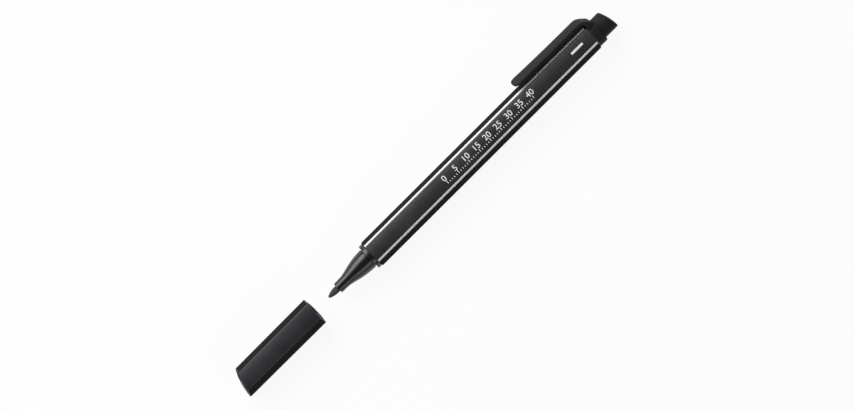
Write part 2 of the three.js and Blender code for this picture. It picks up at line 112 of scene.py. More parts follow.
def new_material(name):
    """An empty node material: its nodes, its links and its output."""
    material = bpy.data.materials.new(name)
    material.use_nodes = True
    nodes = material.node_tree.nodes
    nodes.clear()
    return material, nodes, material.node_tree.links, nodes.new("ShaderNodeOutputMaterial")


def make_floor_material():
    """White paper that shows plain white to the camera and in reflections, under its own shading."""
    material, nodes, links, output = new_material("white_paper")
    paper = nodes.new("ShaderNodeBsdfDiffuse")
    paper.inputs["Color"].default_value = (FLOOR_WHITE, FLOOR_WHITE, FLOOR_WHITE, 1)
    white = nodes.new("ShaderNodeEmission")
    path = nodes.new("ShaderNodeLightPath")
    seen = nodes.new("ShaderNodeMath")
    seen.operation = "MAXIMUM"
    links.new(path.outputs["Is Camera Ray"], seen.inputs[0])
    links.new(path.outputs["Is Glossy Ray"], seen.inputs[1])
    either = nodes.new("ShaderNodeMath")
    either.operation = "MAXIMUM"
    links.new(seen.outputs[0], either.inputs[0])
    links.new(path.outputs["Is Transmission Ray"], either.inputs[1])
    share = nodes.new("ShaderNodeMath")
    share.operation = "MULTIPLY"
    share.inputs[1].default_value = BACKGROUND_SHARE
    links.new(either.outputs[0], share.inputs[0])
    mix = nodes.new("ShaderNodeMixShader")
    links.new(share.outputs[0], mix.inputs["Fac"])
    links.new(paper.outputs[0], mix.inputs[1])
    links.new(white.outputs[0], mix.inputs[2])
    links.new(mix.outputs[0], output.inputs["Surface"])
    return material


bpy.ops.object.select_all(action="DESELECT")
bpy.ops.mesh.primitive_plane_add(size=FLOOR_SIZE)
floor = bpy.context.object
floor.name = "table"
floor.data.materials.append(make_floor_material())

world = bpy.data.worlds.new("studio")
bpy.context.scene.world = world
world.use_nodes = True
world.node_tree.nodes["Background"].inputs["Color"].default_value = (1, 1, 1, 1)
world.node_tree.nodes["Background"].inputs["Strength"].default_value = STUDIO_GREY


def softbox(name, across, along, distance, width, length, power):
    """A softbox beside the pen: across is its angle from straight up towards +Y, along towards +X."""
    place = Vector((sin(along), sin(across) * cos(along), cos(across) * cos(along))) * distance
    bpy.ops.object.light_add(type="AREA", location=place)
    light = bpy.context.object
    light.name = name
    light.rotation_euler = place.to_track_quat("Z", "Y").to_euler()
    light.data.shape = "RECTANGLE"
    light.data.size = length
    light.data.size_y = width
    light.data.energy = power


softbox("key_softbox", radians(52), radians(-7), distance=1.3, width=0.9, length=1.8, power=24)
softbox("side_strip", radians(-58), radians(-8), distance=1.3, width=0.5, length=1.6, power=5)


# Barrel. An extruded tube of black plastic with three wide, slightly crowned faces and three
# narrow, duller flat ones, turned down at both ends, with two white lines printed along the edges
# of the wide face that is up.

CORNER = radians(60)  # from a wide face round to the narrow one beside it
THIRD = radians(120)  # from a wide face round to the next
CROWN_RADIUS = 17
BARREL_EDGE = 0.45
BARREL_BORE = 3.75
BARREL_TURNED_END = 1.1  # how far back and how far in the turned ends are cut
RING_RADIUS = 4.9
COLLAR_RADIUS = 4.78
LINE_WIDTH = 0.92
LINE_ON_WIDE = 0.14  # how far a line reaches past the rounded edge that it runs along
LINE_ON_NARROW = 0.39
LINE_AZIMUTH = radians(39.3)
NARROW_FACE_SPREAD = radians(12)  # how far a narrow side's normals lean from its middle
CROWN_STEPS = 8  # in half a wide face
EDGE_STEPS = 6
ROUND_STEPS = 128
SHARP = radians(28)  # a crease that turns more than this isn't shaded smooth
SAME_PLACE = 0.001  # points closer than this are one point
SLIVER = 0.012  # edges shorter than this are what cutting leaves over
OVERCUT = 1  # how far a form reaches past what it cuts
NOISE_LOW = 0.3  # a noise texture hardly leaves this range
NOISE_HIGH = 0.7
THIN_INK = 0.9  # how bright white ink is where its cover is thin, against full cover
LENGTHWISE = 0.1  # the normal of a face along the pen has less than this share of X


def start_outline(x, y, z):
    """A new mesh of one selected vertex, from which an outline is drawn."""
    bpy.ops.object.select_all(action="DESELECT")
    bpy.ops.mesh.primitive_plane_add(location=(x, y, z))
    bpy.ops.object.transform_apply()
    bpy.ops.object.mode_set(mode="EDIT")
    bpy.ops.mesh.merge(type="CENTER")


def extrude(step):
    """Extrudes what is selected: a vertex draws the outline on, and a face becomes a solid."""
    bpy.ops.mesh.extrude_region_move(TRANSFORM_OT_translate={"value": step})


def spin_round(centre, angle, steps):
    """Spins what is selected round X, from +Z towards +Y: a vertex draws the outline on by an arc."""
    bpy.ops.mesh.spin(steps=steps, angle=angle, center=centre, axis=(1, 0, 0))


def merge_points():
    """Merges the points of the mesh that lie in one place."""
    bpy.ops.mesh.select_all(action="SELECT")
    bpy.ops.mesh.remove_doubles(threshold=SAME_PLACE)


def finish_mesh():
    """Turns the faces outwards, leaves edit mode and gives the piece."""
    bpy.ops.mesh.select_all(action="SELECT")
    bpy.ops.mesh.normals_make_consistent(inside=False)
    bpy.ops.object.mode_set(mode="OBJECT")
    return bpy.context.object


def at_azimuth(x, azimuth, radius):
    """A point by its angle round the axis, counted from straight up towards +Y."""
    return Vector((x, radius * sin(azimuth), radius * cos(azimuth)))


def rounded_edge(crown_drop, edge):
    """The round between an upright wide face and the narrow face beside it, which touches both: half
    of the narrow face's flat width, and the round's centre as (sideways, up)."""
    inner = narrow_face - edge
    half = -inner * sin(CORNER) * cos(CORNER) + (inner * cos(CORNER) + crown_drop) * sin(CORNER)
    apart = (inner * sin(CORNER)) ** 2 + (inner * cos(CORNER) + crown_drop) ** 2
    reach = sqrt(half**2 + (CROWN_RADIUS - edge) ** 2 - apart) - half
    sideways = inner * sin(CORNER) - reach * cos(CORNER)
    up = inner * cos(CORNER) + reach * sin(CORNER)
    return reach, Vector((sideways, up))


def draw_section(x, crown, edge, first=0, on_wide=0, on_narrow=0):
    """Draws the pen's six-sided outline: crowned face, rounded edge, flat face, edge, three times.
    crown is a wide face's distance from the axis, first turns the outline, and on_wide and on_narrow
    divide the faces that far from their rounded edges."""
    crown_drop = CROWN_RADIUS - crown
    reach, edge_centre = rounded_edge(crown_drop, edge)
    edge_azimuth = atan2(edge_centre.x, edge_centre.y)
    crown_angle = atan2(edge_centre.x, edge_centre.y + crown_drop)
    edge_angle = CORNER - crown_angle
    mark_angle = on_wide / CROWN_RADIUS
    start_outline(*at_azimuth(x, first, crown))
    for third in range(3):
        turn = first + third * THIRD
        next_turn = turn + THIRD
        crown_centre = at_azimuth(x, turn, -crown_drop)
        spin_round(crown_centre, crown_angle - mark_angle, CROWN_STEPS)
        if on_wide:
            spin_round(crown_centre, mark_angle, 1)
        spin_round(at_azimuth(x, turn + edge_azimuth, edge_centre.length), edge_angle, EDGE_STEPS)
        flat = Vector((0, cos(turn + CORNER), -sin(turn + CORNER)))
        if on_narrow:
            extrude(flat * on_narrow)
        extrude(flat * 2 * (reach - on_narrow))
        if on_narrow:
            extrude(flat * on_narrow)
        spin_round(at_azimuth(x, next_turn - edge_azimuth, edge_centre.length), edge_angle, EDGE_STEPS)
        next_crown_centre = at_azimuth(x, next_turn, -crown_drop)
        if on_wide:
            spin_round(next_crown_centre, mark_angle, 1)
        spin_round(next_crown_centre, crown_angle - mark_angle, CROWN_STEPS)
    merge_points()


def turned(outline, steps=ROUND_STEPS):
    """A form turned round the axis, from (place along X, radius) pairs that start and end on the
    axis or meet."""
    (x, radius), *rest = outline
    start_outline(x, 0, radius)
    for next_x, next_radius in rest:
        extrude((next_x - x, 0, next_radius - radius))
        x, radius = next_x, next_radius
    bpy.ops.mesh.select_all(action="SELECT")
    spin_round((0, 0, 0), 2 * pi, steps)
    merge_points()
    return finish_mesh()


def select_only(piece):
    """Leaves a piece as the only one selected, and active."""
    bpy.ops.object.select_all(action="DESELECT")
    piece.select_set(True)
    bpy.context.view_layer.objects.active = piece


def apply_modifier(piece, modifier):
    """Makes a modifier part of the piece's mesh."""
    select_only(piece)
    bpy.ops.object.modifier_apply(modifier=modifier.name)


def combine(piece, other, operation):
    """Joins, cuts or intersects a piece with another solid, which is used up."""
    modifier = piece.modifiers.new("Combine", "BOOLEAN")
    modifier.operation = operation
    modifier.solver = "EXACT"
    modifier.object = other
    apply_modifier(piece, modifier)
    bpy.data.objects.remove(other)


def round_edges(piece, width, segments=3, sharper_than=30):
    """Rounds every edge where the faces turn by more than that many degrees."""
    modifier = piece.modifiers.new("Round", "BEVEL")
    modifier.width = width
    modifier.segments = segments
    modifier.limit_method = "ANGLE"
    modifier.angle_limit = radians(sharper_than)
    apply_modifier(piece, modifier)


def clean(piece, sliver):
    """Closes up the slivers that cutting leaves."""
    select_only(piece)
    bpy.ops.object.mode_set(mode="EDIT")
    bpy.ops.mesh.select_all(action="SELECT")
    bpy.ops.mesh.remove_doubles(threshold=sliver)
    bpy.ops.mesh.dissolve_degenerate(threshold=sliver)
    bpy.ops.object.mode_set(mode="OBJECT")


def place_in_frame(piece, name, turn=0, sliver=SLIVER):
    """Names a finished piece, turns it round the axis, and brings it to the frame's metres."""
    clean(piece, sliver)
    piece.name = name
    piece.data.name = name
    piece.scale = (1 / METRE,) * 3
    piece.rotation_euler = (-turn, 0, 0)
    piece.location = (0, 0, axis_height / METRE)
    select_only(piece)
    bpy.ops.object.transform_apply(location=True, rotation=True, scale=True)
    bpy.ops.object.shade_smooth_by_angle(angle=SHARP)
    return piece


def make_barrel():
    """The six-sided prism, cut to the barrel's turned form, which has its ends and its bore."""
    front, rear = barrel_low.x, barrel_high.x
    draw_section(front - OVERCUT, wide_face, BARREL_EDGE, on_wide=LINE_ON_WIDE, on_narrow=LINE_ON_NARROW)
    bpy.ops.mesh.edge_face_add()
    extrude((rear - front + 2 * OVERCUT, 0, 0))
    prism = finish_mesh()
    blank = turned([
        (front, BARREL_BORE),
        (front, RING_RADIUS),
        (front + BARREL_TURNED_END, RING_RADIUS + BARREL_TURNED_END),
        (rear - BARREL_TURNED_END, COLLAR_RADIUS + BARREL_TURNED_END),
        (rear, COLLAR_RADIUS),
        (rear, BARREL_BORE),
        (front, BARREL_BORE),
    ])
    combine(prism, blank, "INTERSECT")
    return place_in_frame(prism, "barrel_tube")


def add_to_group(group, sockets, in_out):
    """Named inputs or outputs of a node group, from (kind, name) pairs."""
    for kind, name in sockets:
        group.interface.new_socket(name, in_out=in_out, socket_type="NodeSocket" + kind)


def make_moulded_grain():
    """The surface of a spark-eroded mould: a fine grain, and a slow mottle from the flow of the
    plastic and from handling."""
    group = bpy.data.node_groups.new("moulded_grain", "ShaderNodeTree")
    add_to_group(group, [("Float", "Grains per metre"), ("Float", "Mottles per metre")], "INPUT")
    add_to_group(group, [("Float", "Grain"), ("Float", "Mottle")], "OUTPUT")
    nodes, links = group.nodes, group.links
    given = nodes.new("NodeGroupInput")
    made = nodes.new("NodeGroupOutput")
    place = nodes.new("ShaderNodeTexCoord")
    grain = nodes.new("ShaderNodeTexNoise")
    grain.inputs["Detail"].default_value = 2
    grain.inputs["Roughness"].default_value = 0.6
    mottle = nodes.new("ShaderNodeTexNoise")
    mottle.inputs["Detail"].default_value = 4
    mottle.inputs["Roughness"].default_value = 0.55
    for noise, scale, output in ((grain, 0, "Grain"), (mottle, 1, "Mottle")):
        links.new(place.outputs["Object"], noise.inputs["Vector"])
        links.new(given.outputs[scale], noise.inputs["Scale"])
        links.new(noise.outputs["Fac"], made.inputs[output])
    return group


def make_hairlines():
    """Hairline scratches from sliding into pockets and cups, as a mask: thin lines some thirty times as
    long as wide, which run along the pen with a slight slant."""
    group = bpy.data.node_groups.new("hairlines", "ShaderNodeTree")
    add_to_group(group, [("Float", "Lines per metre"), ("Float", "Amount")], "INPUT")
    add_to_group(group, [("Float", "Mask")], "OUTPUT")
    nodes, links = group.nodes, group.links
    given = nodes.new("NodeGroupInput")
    made = nodes.new("NodeGroupOutput")
    place = nodes.new("ShaderNodeTexCoord")
    stretch = nodes.new("ShaderNodeMapping")
    stretch.inputs["Rotation"].default_value = (0, 0, radians(4))
    stretch.inputs["Scale"].default_value = (0.03, 1, 1)
    lines = nodes.new("ShaderNodeTexNoise")
    lines.inputs["Detail"].default_value = 1
    pick = nodes.new("ShaderNodeMapRange")
    pick.inputs["From Min"].default_value = 0.66
    pick.inputs["From Max"].default_value = 0.74
    links.new(place.outputs["Object"], stretch.inputs["Vector"])
    links.new(stretch.outputs[0], lines.inputs["Vector"])
    links.new(given.outputs["Lines per metre"], lines.inputs["Scale"])
    links.new(lines.outputs["Fac"], pick.inputs["Value"])
    links.new(given.outputs["Amount"], pick.inputs["To Max"])
    links.new(pick.outputs[0], made.inputs["Mask"])
    return group


moulded_grain = make_moulded_grain()
hairlines = make_hairlines()


def use_group(nodes, group, **values):
    """Places a node group in a material, with its own values for the inputs, in their order."""
    node = nodes.new("ShaderNodeGroup")
    node.node_tree = group
    for socket, value in zip(node.inputs, values.values()):
        socket.default_value = value
    return node


def spread(nodes, links, source, low, high):
    """Spreads a noise mask over a range of values."""
    node = nodes.new("ShaderNodeMapRange")
    links.new(source, node.inputs["Value"])
    node.inputs["From Min"].default_value = NOISE_LOW
    node.inputs["From Max"].default_value = NOISE_HIGH
    node.inputs["To Min"].default_value = low
    node.inputs["To Max"].default_value = high
    return node.outputs[0]


def tint(nodes, links, source, first, second):
    """Mixes two colours by a noise mask."""
    node = nodes.new("ShaderNodeMix")
    node.data_type = "RGBA"
    node.inputs["A"].default_value = (*first, 1)
    node.inputs["B"].default_value = (*second, 1)
    links.new(spread(nodes, links, source, 0, 1), node.inputs["Factor"])
    return node.outputs["Result"]


def moulded_plastic(name, dark, light, roughness, gloss, grain_height, grains=9000, mottles=160):
    """Moulded plastic: colour and roughness drift with the mottle, the grain is in the bump, and
    hairlines are a little glossier. The grain's height is in metres, and grains and mottles are
    numbers to a metre."""
    material, nodes, links, output = new_material(name)
    shader = nodes.new("ShaderNodeBsdfPrincipled")
    shader.inputs["Specular IOR Level"].default_value = gloss
    surface = use_group(nodes, moulded_grain, grains=grains, mottles=mottles)
    marks = use_group(nodes, hairlines, lines=2600, amount=0.12)
    links.new(tint(nodes, links, surface.outputs["Mottle"], dark, light), shader.inputs["Base Color"])
    less = nodes.new("ShaderNodeMath")
    less.operation = "SUBTRACT"
    links.new(spread(nodes, links, surface.outputs["Mottle"], *roughness), less.inputs[0])
    links.new(marks.outputs["Mask"], less.inputs[1])
    links.new(less.outputs[0], shader.inputs["Roughness"])
    bump = nodes.new("ShaderNodeBump")
    bump.inputs["Distance"].default_value = grain_height
    links.new(surface.outputs["Grain"], bump.inputs["Height"])
    links.new(bump.outputs[0], shader.inputs["Normal"])
    links.new(shader.outputs[0], output.inputs["Surface"])
    return material


def printing_ink(name, colour):
    """White printing ink, with the slightly uneven cover of pad printing."""
    material, nodes, links, output = new_material(name)
    shader = nodes.new("ShaderNodeBsdfPrincipled")
    shader.inputs["Specular IOR Level"].default_value = 0.2
    cover = use_group(nodes, moulded_grain, grains=12000, mottles=1500)
    thin = tuple(THIN_INK * part for part in colour)
    links.new(tint(nodes, links, cover.outputs["Mottle"], thin, colour), shader.inputs["Base Color"])
    links.new(spread(nodes, links, cover.outputs["Grain"], 0.45, 0.6), shader.inputs["Roughness"])
    links.new(shader.outputs[0], output.inputs["Surface"])
    return material


def on_narrow_face(face):
    """Whether a face of the six-sided form lies on one of its three narrow sides."""
    azimuth = atan2(face.normal.y, face.normal.z)
    return abs(face.normal.x) < LENGTHWISE and cos(3 * azimuth) < -cos(3 * NARROW_FACE_SPREAD)


def on_printed_line(face):
    """Whether a face of the barrel lies on one of the two lines beside the wide face on top."""
    away = Vector((face.center.y, face.center.z - axis_height / METRE))
    from_line = abs(abs(atan2(away.x, away.y)) - LINE_AZIMUTH) * away.length
    outside = away.length > wide_face / METRE
    return from_line < LINE_WIDTH / 2 / METRE and outside and abs(face.normal.x) < LENGTHWISE


def finish_faces(piece, material, chosen):
    """Gives a finish of their own to the faces that a test picks."""
    piece.data.materials.append(material)
    for face in piece.data.polygons:
        if chosen(face):
            face.material_index = len(piece.data.materials) - 1


satin_black = moulded_plastic(
    "satin_black",
    dark=(0.0064, 0.0052, 0.0082),
    light=(0.0096, 0.0079, 0.0118),
    roughness=(0.41, 0.47),
    gloss=0.92,
    grain_height=0.00002,
)
dull_black = moulded_plastic(
    "dull_black",
    dark=(0.008, 0.007, 0.0088),
    light=(0.012, 0.0104, 0.0126),
    roughness=(0.64, 0.72),
    gloss=0.07,
    grain_height=0.00002,
)
white_ink = printing_ink("white_ink", colour=(0.93, 0.9, 0.91))

barrel = make_barrel()
barrel.data.materials.append(satin_black)
finish_faces(barrel, dull_black, on_narrow_face)
finish_faces(barrel, white_ink, on_printed_line)
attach(barrel, "pen_body")
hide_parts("barrel")


# Ink store. A rod of polyester fibre soaked with ink, in a sleeve of clear film that is drawn
# round it and keeps it from wetting the barrel. Both are closed in between the nib section and
# the rear plug.


def fibre(name, dark, light, fibres, height):
    """Bonded fibre: fine strands along the pen, with their number to a metre and their height in
    metres."""
    material, nodes, links, output = new_material(name)
    shader = nodes.new("ShaderNodeBsdfPrincipled")
    shader.inputs["Roughness"].default_value = 0.85
    shader.inputs["Specular IOR Level"].default_value = 0.15
    place = nodes.new("ShaderNodeTexCoord")
    stretch = nodes.new("ShaderNodeMapping")
    stretch.inputs["Scale"].default_value = (0.12, 1, 1)
    strands = nodes.new("ShaderNodeTexNoise")
    strands.inputs["Scale"].default_value = fibres
    strands.inputs["Detail"].default_value = 3
    links.new(place.outputs["Object"], stretch.inputs["Vector"])
    links.new(stretch.outputs[0], strands.inputs["Vector"])
    links.new(tint(nodes, links, strands.outputs["Fac"], dark, light), shader.inputs["Base Color"])
    bump = nodes.new("ShaderNodeBump")
    bump.inputs["Distance"].default_value = height
    links.new(strands.outputs["Fac"], bump.inputs["Height"])
    links.new(bump.outputs[0], shader.inputs["Normal"])
    links.new(shader.outputs[0], output.inputs["Surface"])
    return material


def dress(node, material):
    """Gives a solid that stays as it is its finish."""
    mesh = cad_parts[node].data
    mesh.materials.clear()
    mesh.materials.append(material)


soaked_fibre = fibre(
    "soaked_fibre",
    dark=(0.010, 0.010, 0.016),
    light=(0.030, 0.029, 0.040),
    fibres=5000,
    height=0.00004,
)
dress("ink_reservoir", soaked_fibre)
drawn_film = moulded_plastic(
    "drawn_film",
    dark=(0.66, 0.66, 0.64),
    light=(0.74, 0.74, 0.72),
    roughness=(0.18, 0.26),
    gloss=0.5,
    grain_height=0.000004,
)
dress("reservoir_wrap", drawn_film)


# Nib section. A glossy black moulding: the ring that shows between barrel and nose, a fine groove,
# the nose that sweeps in to a slim neck, and a spigot that is pressed into the barrel and holds the
# ink store.

RING_THICKNESS = 1.3
NOSE_RADIUS = 3.8
NECK_RADIUS = 2.04
NECK_LENGTH = 2.45
NECK_END_RADIUS = 1.99
NIB_BORE = 1.185
NOSE_GROOVE = 0.35
NOSE_GROOVE_DEPTH = 0.3
SPIGOT_LENGTH = 8
SPIGOT_RADIUS = 3.73
SOCKET_RADIUS = 3.13
SOCKET_DEPTH = 0.5
SWELL = 0.53  # the share of the sweep's length over which its curve draws away from the nose
FLARE = 0.25  # and from the neck
SWEEP_STEPS = 28
NIB_SECTION_ROUND = 0.12


def along_curve(start, first, second, end, steps):
    """Points of a Bezier curve in an outline, as (place along X, radius) pairs."""
    corners = [Vector((*point, 0)) for point in (start, first, second, end)]
    return [(point.x, point.y) for point in interpolate_bezier(*corners, steps)]


def make_nib_section():
    """The whole moulding as one turned form, from the mouth of its bore and back to it."""
    seat = barrel_low.x
    neck_end = ends("nib_section")[0].x
    ring_front = seat - RING_THICKNESS
    nose_start = ring_front - NOSE_GROOVE
    groove_radius = NOSE_RADIUS - NOSE_GROOVE_DEPTH
    neck_start = neck_end + NECK_LENGTH
    sweep = nose_start - neck_start
    nose = along_curve(
        (neck_start, NECK_RADIUS),
        (neck_start + FLARE * sweep, NECK_RADIUS),
        (nose_start - SWELL * sweep, NOSE_RADIUS),
        (nose_start, NOSE_RADIUS),
        SWEEP_STEPS,
    )
    section = turned([
        (neck_end, NIB_BORE),
        (neck_end, NECK_END_RADIUS),
        *nose,
        (nose_start, groove_radius),
        (ring_front, groove_radius),
        (ring_front, RING_RADIUS),
        (seat, RING_RADIUS),
        (seat, SPIGOT_RADIUS),
        (seat + SPIGOT_LENGTH, SPIGOT_RADIUS),
        (seat + SPIGOT_LENGTH, SOCKET_RADIUS),
        (seat + SOCKET_DEPTH, SOCKET_RADIUS),
        (seat + SOCKET_DEPTH, NIB_BORE),
        (neck_end, NIB_BORE),
    ])
    round_edges(section, NIB_SECTION_ROUND)
    return place_in_frame(section, "nose_moulding")


gloss_black = moulded_plastic(
    "gloss_black",
    dark=(0.0025, 0.003, 0.0035),
    light=(0.004, 0.0045, 0.005),
    roughness=(0.28, 0.32),
    gloss=0.62,
    grain_height=0.000002,
    grains=3000,
    mottles=400,
)
nib_section = make_nib_section()
nib_section.data.materials.append(gloss_black)
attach(nib_section, "pen_body")
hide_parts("nib_section")


# Nib. A rod of bonded acrylic fibre, ground to a bullet point and pushed through the neck into the
# ink store, soaked dark with ink.

NIB_RADIUS = 1.165
NIB_POINT_RADIUS = 0.5
NIB_POINT_BALL = radians(65)  # how far the ball of the point reaches round on each side
NIB_TAPER = 2.9
NIB_CHAMFER = 0.15
NIB_BALL_STEPS = 8
NIB_TAPER_STEPS = 12
NIB_ROUND_STEPS = 64


def make_nib():
    """A turned form: the ball of the point, the curve that widens from it, and the rod."""
    tip, rear = nib_low.x, nib_high.x
    turns = [NIB_POINT_BALL * step / NIB_BALL_STEPS for step in range(NIB_BALL_STEPS + 1)]
    ball = [(tip + NIB_POINT_RADIUS * (1 - cos(turn)), NIB_POINT_RADIUS * sin(turn)) for turn in turns]
    leave_x, leave_radius = ball[-1]
    full = tip + NIB_POINT_RADIUS + NIB_TAPER
    lead = NIB_TAPER / 3
    ogive = along_curve(
        (leave_x, leave_radius),
        (leave_x + lead, leave_radius + lead / tan(NIB_POINT_BALL)),
        (full - lead, NIB_RADIUS),
        (full, NIB_RADIUS),
        NIB_TAPER_STEPS,
    )
    nib = turned([
        *ball,
        *ogive[1:],
        (rear - NIB_CHAMFER, NIB_RADIUS),
        (rear, NIB_RADIUS - NIB_CHAMFER),
        (rear, 0),
    ], NIB_ROUND_STEPS)
    return place_in_frame(nib, "fibre_point")


inked_fibre = fibre(
    "inked_fibre",
    dark=(0.035, 0.035, 0.036),
    light=(0.085, 0.085, 0.088),
    fibres=9000,
    height=0.00003,
)
nib = make_nib()
nib.data.materials.append(inked_fibre)
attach(nib, "pen_body")
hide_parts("nib")


# Rear plug and clip. One matt black moulding: a collar against the barrel, the stub that the cap
# is posted on, with a slanting domed end, and the clip, whose shoulder rises from the collar and
# whose tapered arm lies over a narrow face.

CLIP_AZIMUTH = radians(60)  # over the narrow face on the +Y side
COLLAR_THICKNESS = 3.1
COLLAR_ROUND = 0.15
STUB_RADIUS = 3.93
STUB_START = 0.5  # where the stub begins inside the collar, from the barrel's end
STUB_LENGTH = 5.47
STUB_SLANT = 0.25  # slope of its end
STUB_DOME = 16  # radius of its end's dome
STUB_EDGE = 0.5
CLIP_REACH = 30.3
CLIP_ROOT = 1.8  # how far in front of the collar the arm starts
CLIP_HEIGHT = 7.58
CLIP_LIFT = 0.38  # how much higher the arm's free end is
CLIP_SHOULDER_FLAT = 2
CLIP_SHOULDER_SLOPE = 2.2
CLIP_WIDTH = 5.5
CLIP_FLARE = 0.6  # how much wider the arm's free end is
CLIP_ROOT_THICKNESS = 1.45
CLIP_TIP_THICKNESS = 0.8
CLIP_NOSE = 2.3  # length over which the free end rounds off
CLIP_NOSE_BLUNTNESS = 0.8  # powers below 1 make its outline fuller than an ellipse
CLIP_NOSE_FULLNESS = 0.7
CLIP_NOSE_THINNING = 0.25
CLIP_EDGE = 0.5
CLIP_FLANK_LEAN = radians(14)
PLUG_SPIGOT = 7
PLUG_WALL = 0.9
PLUG_CHAMFER = 0.15
PLUG_HOLLOW = 1.8  # how far the hollow goes into the stub
ARM_STEPS = 14
CLIP_NOSE_STEPS = 12
SHOULDER_STEPS = 18
DOME_RINGS = (0.88, 0.75, 0.6, 0.45, 0.3, 0.15)  # their sizes, as shares of the end's
RIM_STEPS = 5

rear_face = barrel_high.x


def select_end(piece, towards):
    """In edit mode: selects the faces that look along X, at that end of the piece."""
    bpy.ops.object.mode_set(mode="OBJECT")
    far = max(face.center.x * towards for face in piece.data.polygons)
    for part in (piece.data.vertices, piece.data.edges, piece.data.polygons):
        part.foreach_set("select", [False] * len(part))
    for face in piece.data.polygons:
        face.select = face.center.x * towards > far - SAME_PLACE
    bpy.ops.object.mode_set(mode="EDIT")


def shape_end(piece, towards, end_x, slant, dome, edge):
    """Gives one end of an upright piece a domed form that slopes along Z, and rounds its rim. Rings
    on the end are laid on a sphere, whose radius is dome."""
    select_end(piece, towards)
    bpy.ops.object.mode_set(mode="OBJECT")
    rim = [vertex.index for vertex in piece.data.vertices if vertex.select]
    piece.vertex_groups.new(name="end").add(rim, 1, "REPLACE")
    bpy.ops.object.mode_set(mode="EDIT")
    last = 1
    for share in DOME_RINGS:
        bpy.ops.mesh.extrude_region_move()
        bpy.ops.transform.resize(value=(1, share / last, share / last), center_override=(0, 0, 0))
        last = share
    bpy.ops.object.mode_set(mode="OBJECT")
    tilt = atan2(slant, 1)
    centre = Vector((end_x - towards * dome * cos(tilt), 0, -dome * sin(tilt)))
    bpy.ops.mesh.primitive_uv_sphere_add(
        segments=2 * ROUND_STEPS, ring_count=ROUND_STEPS, radius=dome, location=centre
    )
    former = bpy.context.object
    wrap = piece.modifiers.new("Dome", "SHRINKWRAP")
    wrap.target = former
    wrap.wrap_method = "PROJECT"
    wrap.use_project_x = True
    wrap.use_negative_direction = True
    wrap.use_positive_direction = True
    wrap.vertex_group = "end"
    apply_modifier(piece, wrap)
    bpy.data.objects.remove(former)
    piece.vertex_groups.new(name="rim").add(rim, 1, "REPLACE")
    rounding = piece.modifiers.new("Rim", "BEVEL")
    rounding.width = edge
    rounding.segments = RIM_STEPS
    rounding.limit_method = "VGROUP"
    rounding.vertex_group = "rim"
    apply_modifier(piece, rounding)
    piece.vertex_groups.clear()


def extrude_bar(stations):
    """Extrudes the selected end of a bar through stations: place along X, half width, top, bottom."""
    last_x, last_half, last_top, last_bottom = stations[0]
    for x, half, top, bottom in stations[1:]:
        centre = (top + bottom) / 2
        wider = half / last_half
        thicker = (top - bottom) / (last_top - last_bottom)
        extrude((x - last_x, 0, centre - (last_top + last_bottom) / 2))
        bpy.ops.transform.resize(value=(1, wider, thicker), center_override=(x, 0, centre))
        last_x, last_half, last_top, last_bottom = x, half, top, bottom


def arm_station(x, fullness=1):
    """The clip arm's section: it rises, widens and thins towards its free end. Where the end rounds
    off, fullness is less than 1."""
    run = (rear_face - CLIP_ROOT - x) / (CLIP_REACH - CLIP_ROOT)
    thickness = CLIP_ROOT_THICKNESS + (CLIP_TIP_THICKNESS - CLIP_ROOT_THICKNESS) * run
    top = CLIP_HEIGHT + CLIP_LIFT * run**2
    thinning = thickness * (1 - fullness) * CLIP_NOSE_THINNING
    half = (CLIP_WIDTH + CLIP_FLARE * run**2) / 2 * fullness
    return x, half, top - thinning, top - thickness + thinning


def arm_stations():
    """The arm from its root to where its free end starts to round off, and the rounded end."""
    root = rear_face - CLIP_ROOT
    tip = rear_face - CLIP_REACH
    straight = tip + CLIP_NOSE - root
    stations = [arm_station(root + straight * step / ARM_STEPS) for step in range(ARM_STEPS + 1)]
    for step in range(1, CLIP_NOSE_STEPS):
        turn = radians(90) * (1 - step / CLIP_NOSE_STEPS)
        x = tip + CLIP_NOSE * (1 - cos(turn) ** CLIP_NOSE_BLUNTNESS)
        stations.append(arm_station(x, sin(turn) ** CLIP_NOSE_FULLNESS))
    return stations


def sunk_share(x):
    """How far the shoulder's underside has sunk into the collar, from 0 to 1."""
    share = min(max((x - rear_face) / (COLLAR_THICKNESS / 4), 0), 1)
    return share * share * (3 - 2 * share)


def shoulder_stations():
    """The shoulder rounds over into a slope down to the collar's rear edge; its underside sinks into
    the collar."""
    root = rear_face - CLIP_ROOT
    foot = rear_face + COLLAR_THICKNESS - COLLAR_ROUND
    curve = along_curve(
        (root, CLIP_HEIGHT),
        (root + CLIP_SHOULDER_FLAT, CLIP_HEIGHT),
        (foot - CLIP_SHOULDER_SLOPE, COLLAR_RADIUS + CLIP_SHOULDER_SLOPE),
        (foot, COLLAR_RADIUS),
        SHOULDER_STEPS,
    )
    under = CLIP_HEIGHT - CLIP_ROOT_THICKNESS
    stations = []
    for x, top in curve:
        bottom = under + (COLLAR_RADIUS / 2 - under) * sunk_share(x)
        stations.append((x, CLIP_WIDTH / 2, top, bottom))
    return stations


def lean_flanks(bar, stations):
    """Leans the shoulder's sides out on their way down to the collar."""
    for x, half, top, _ in stations:
        lean = tan(CLIP_FLANK_LEAN) * sunk_share(x) / half
        for vertex in bar.data.vertices:
            if abs(vertex.co.x - x) < SAME_PLACE:
                vertex.co.y *= 1 + lean * (top - vertex.co.z)


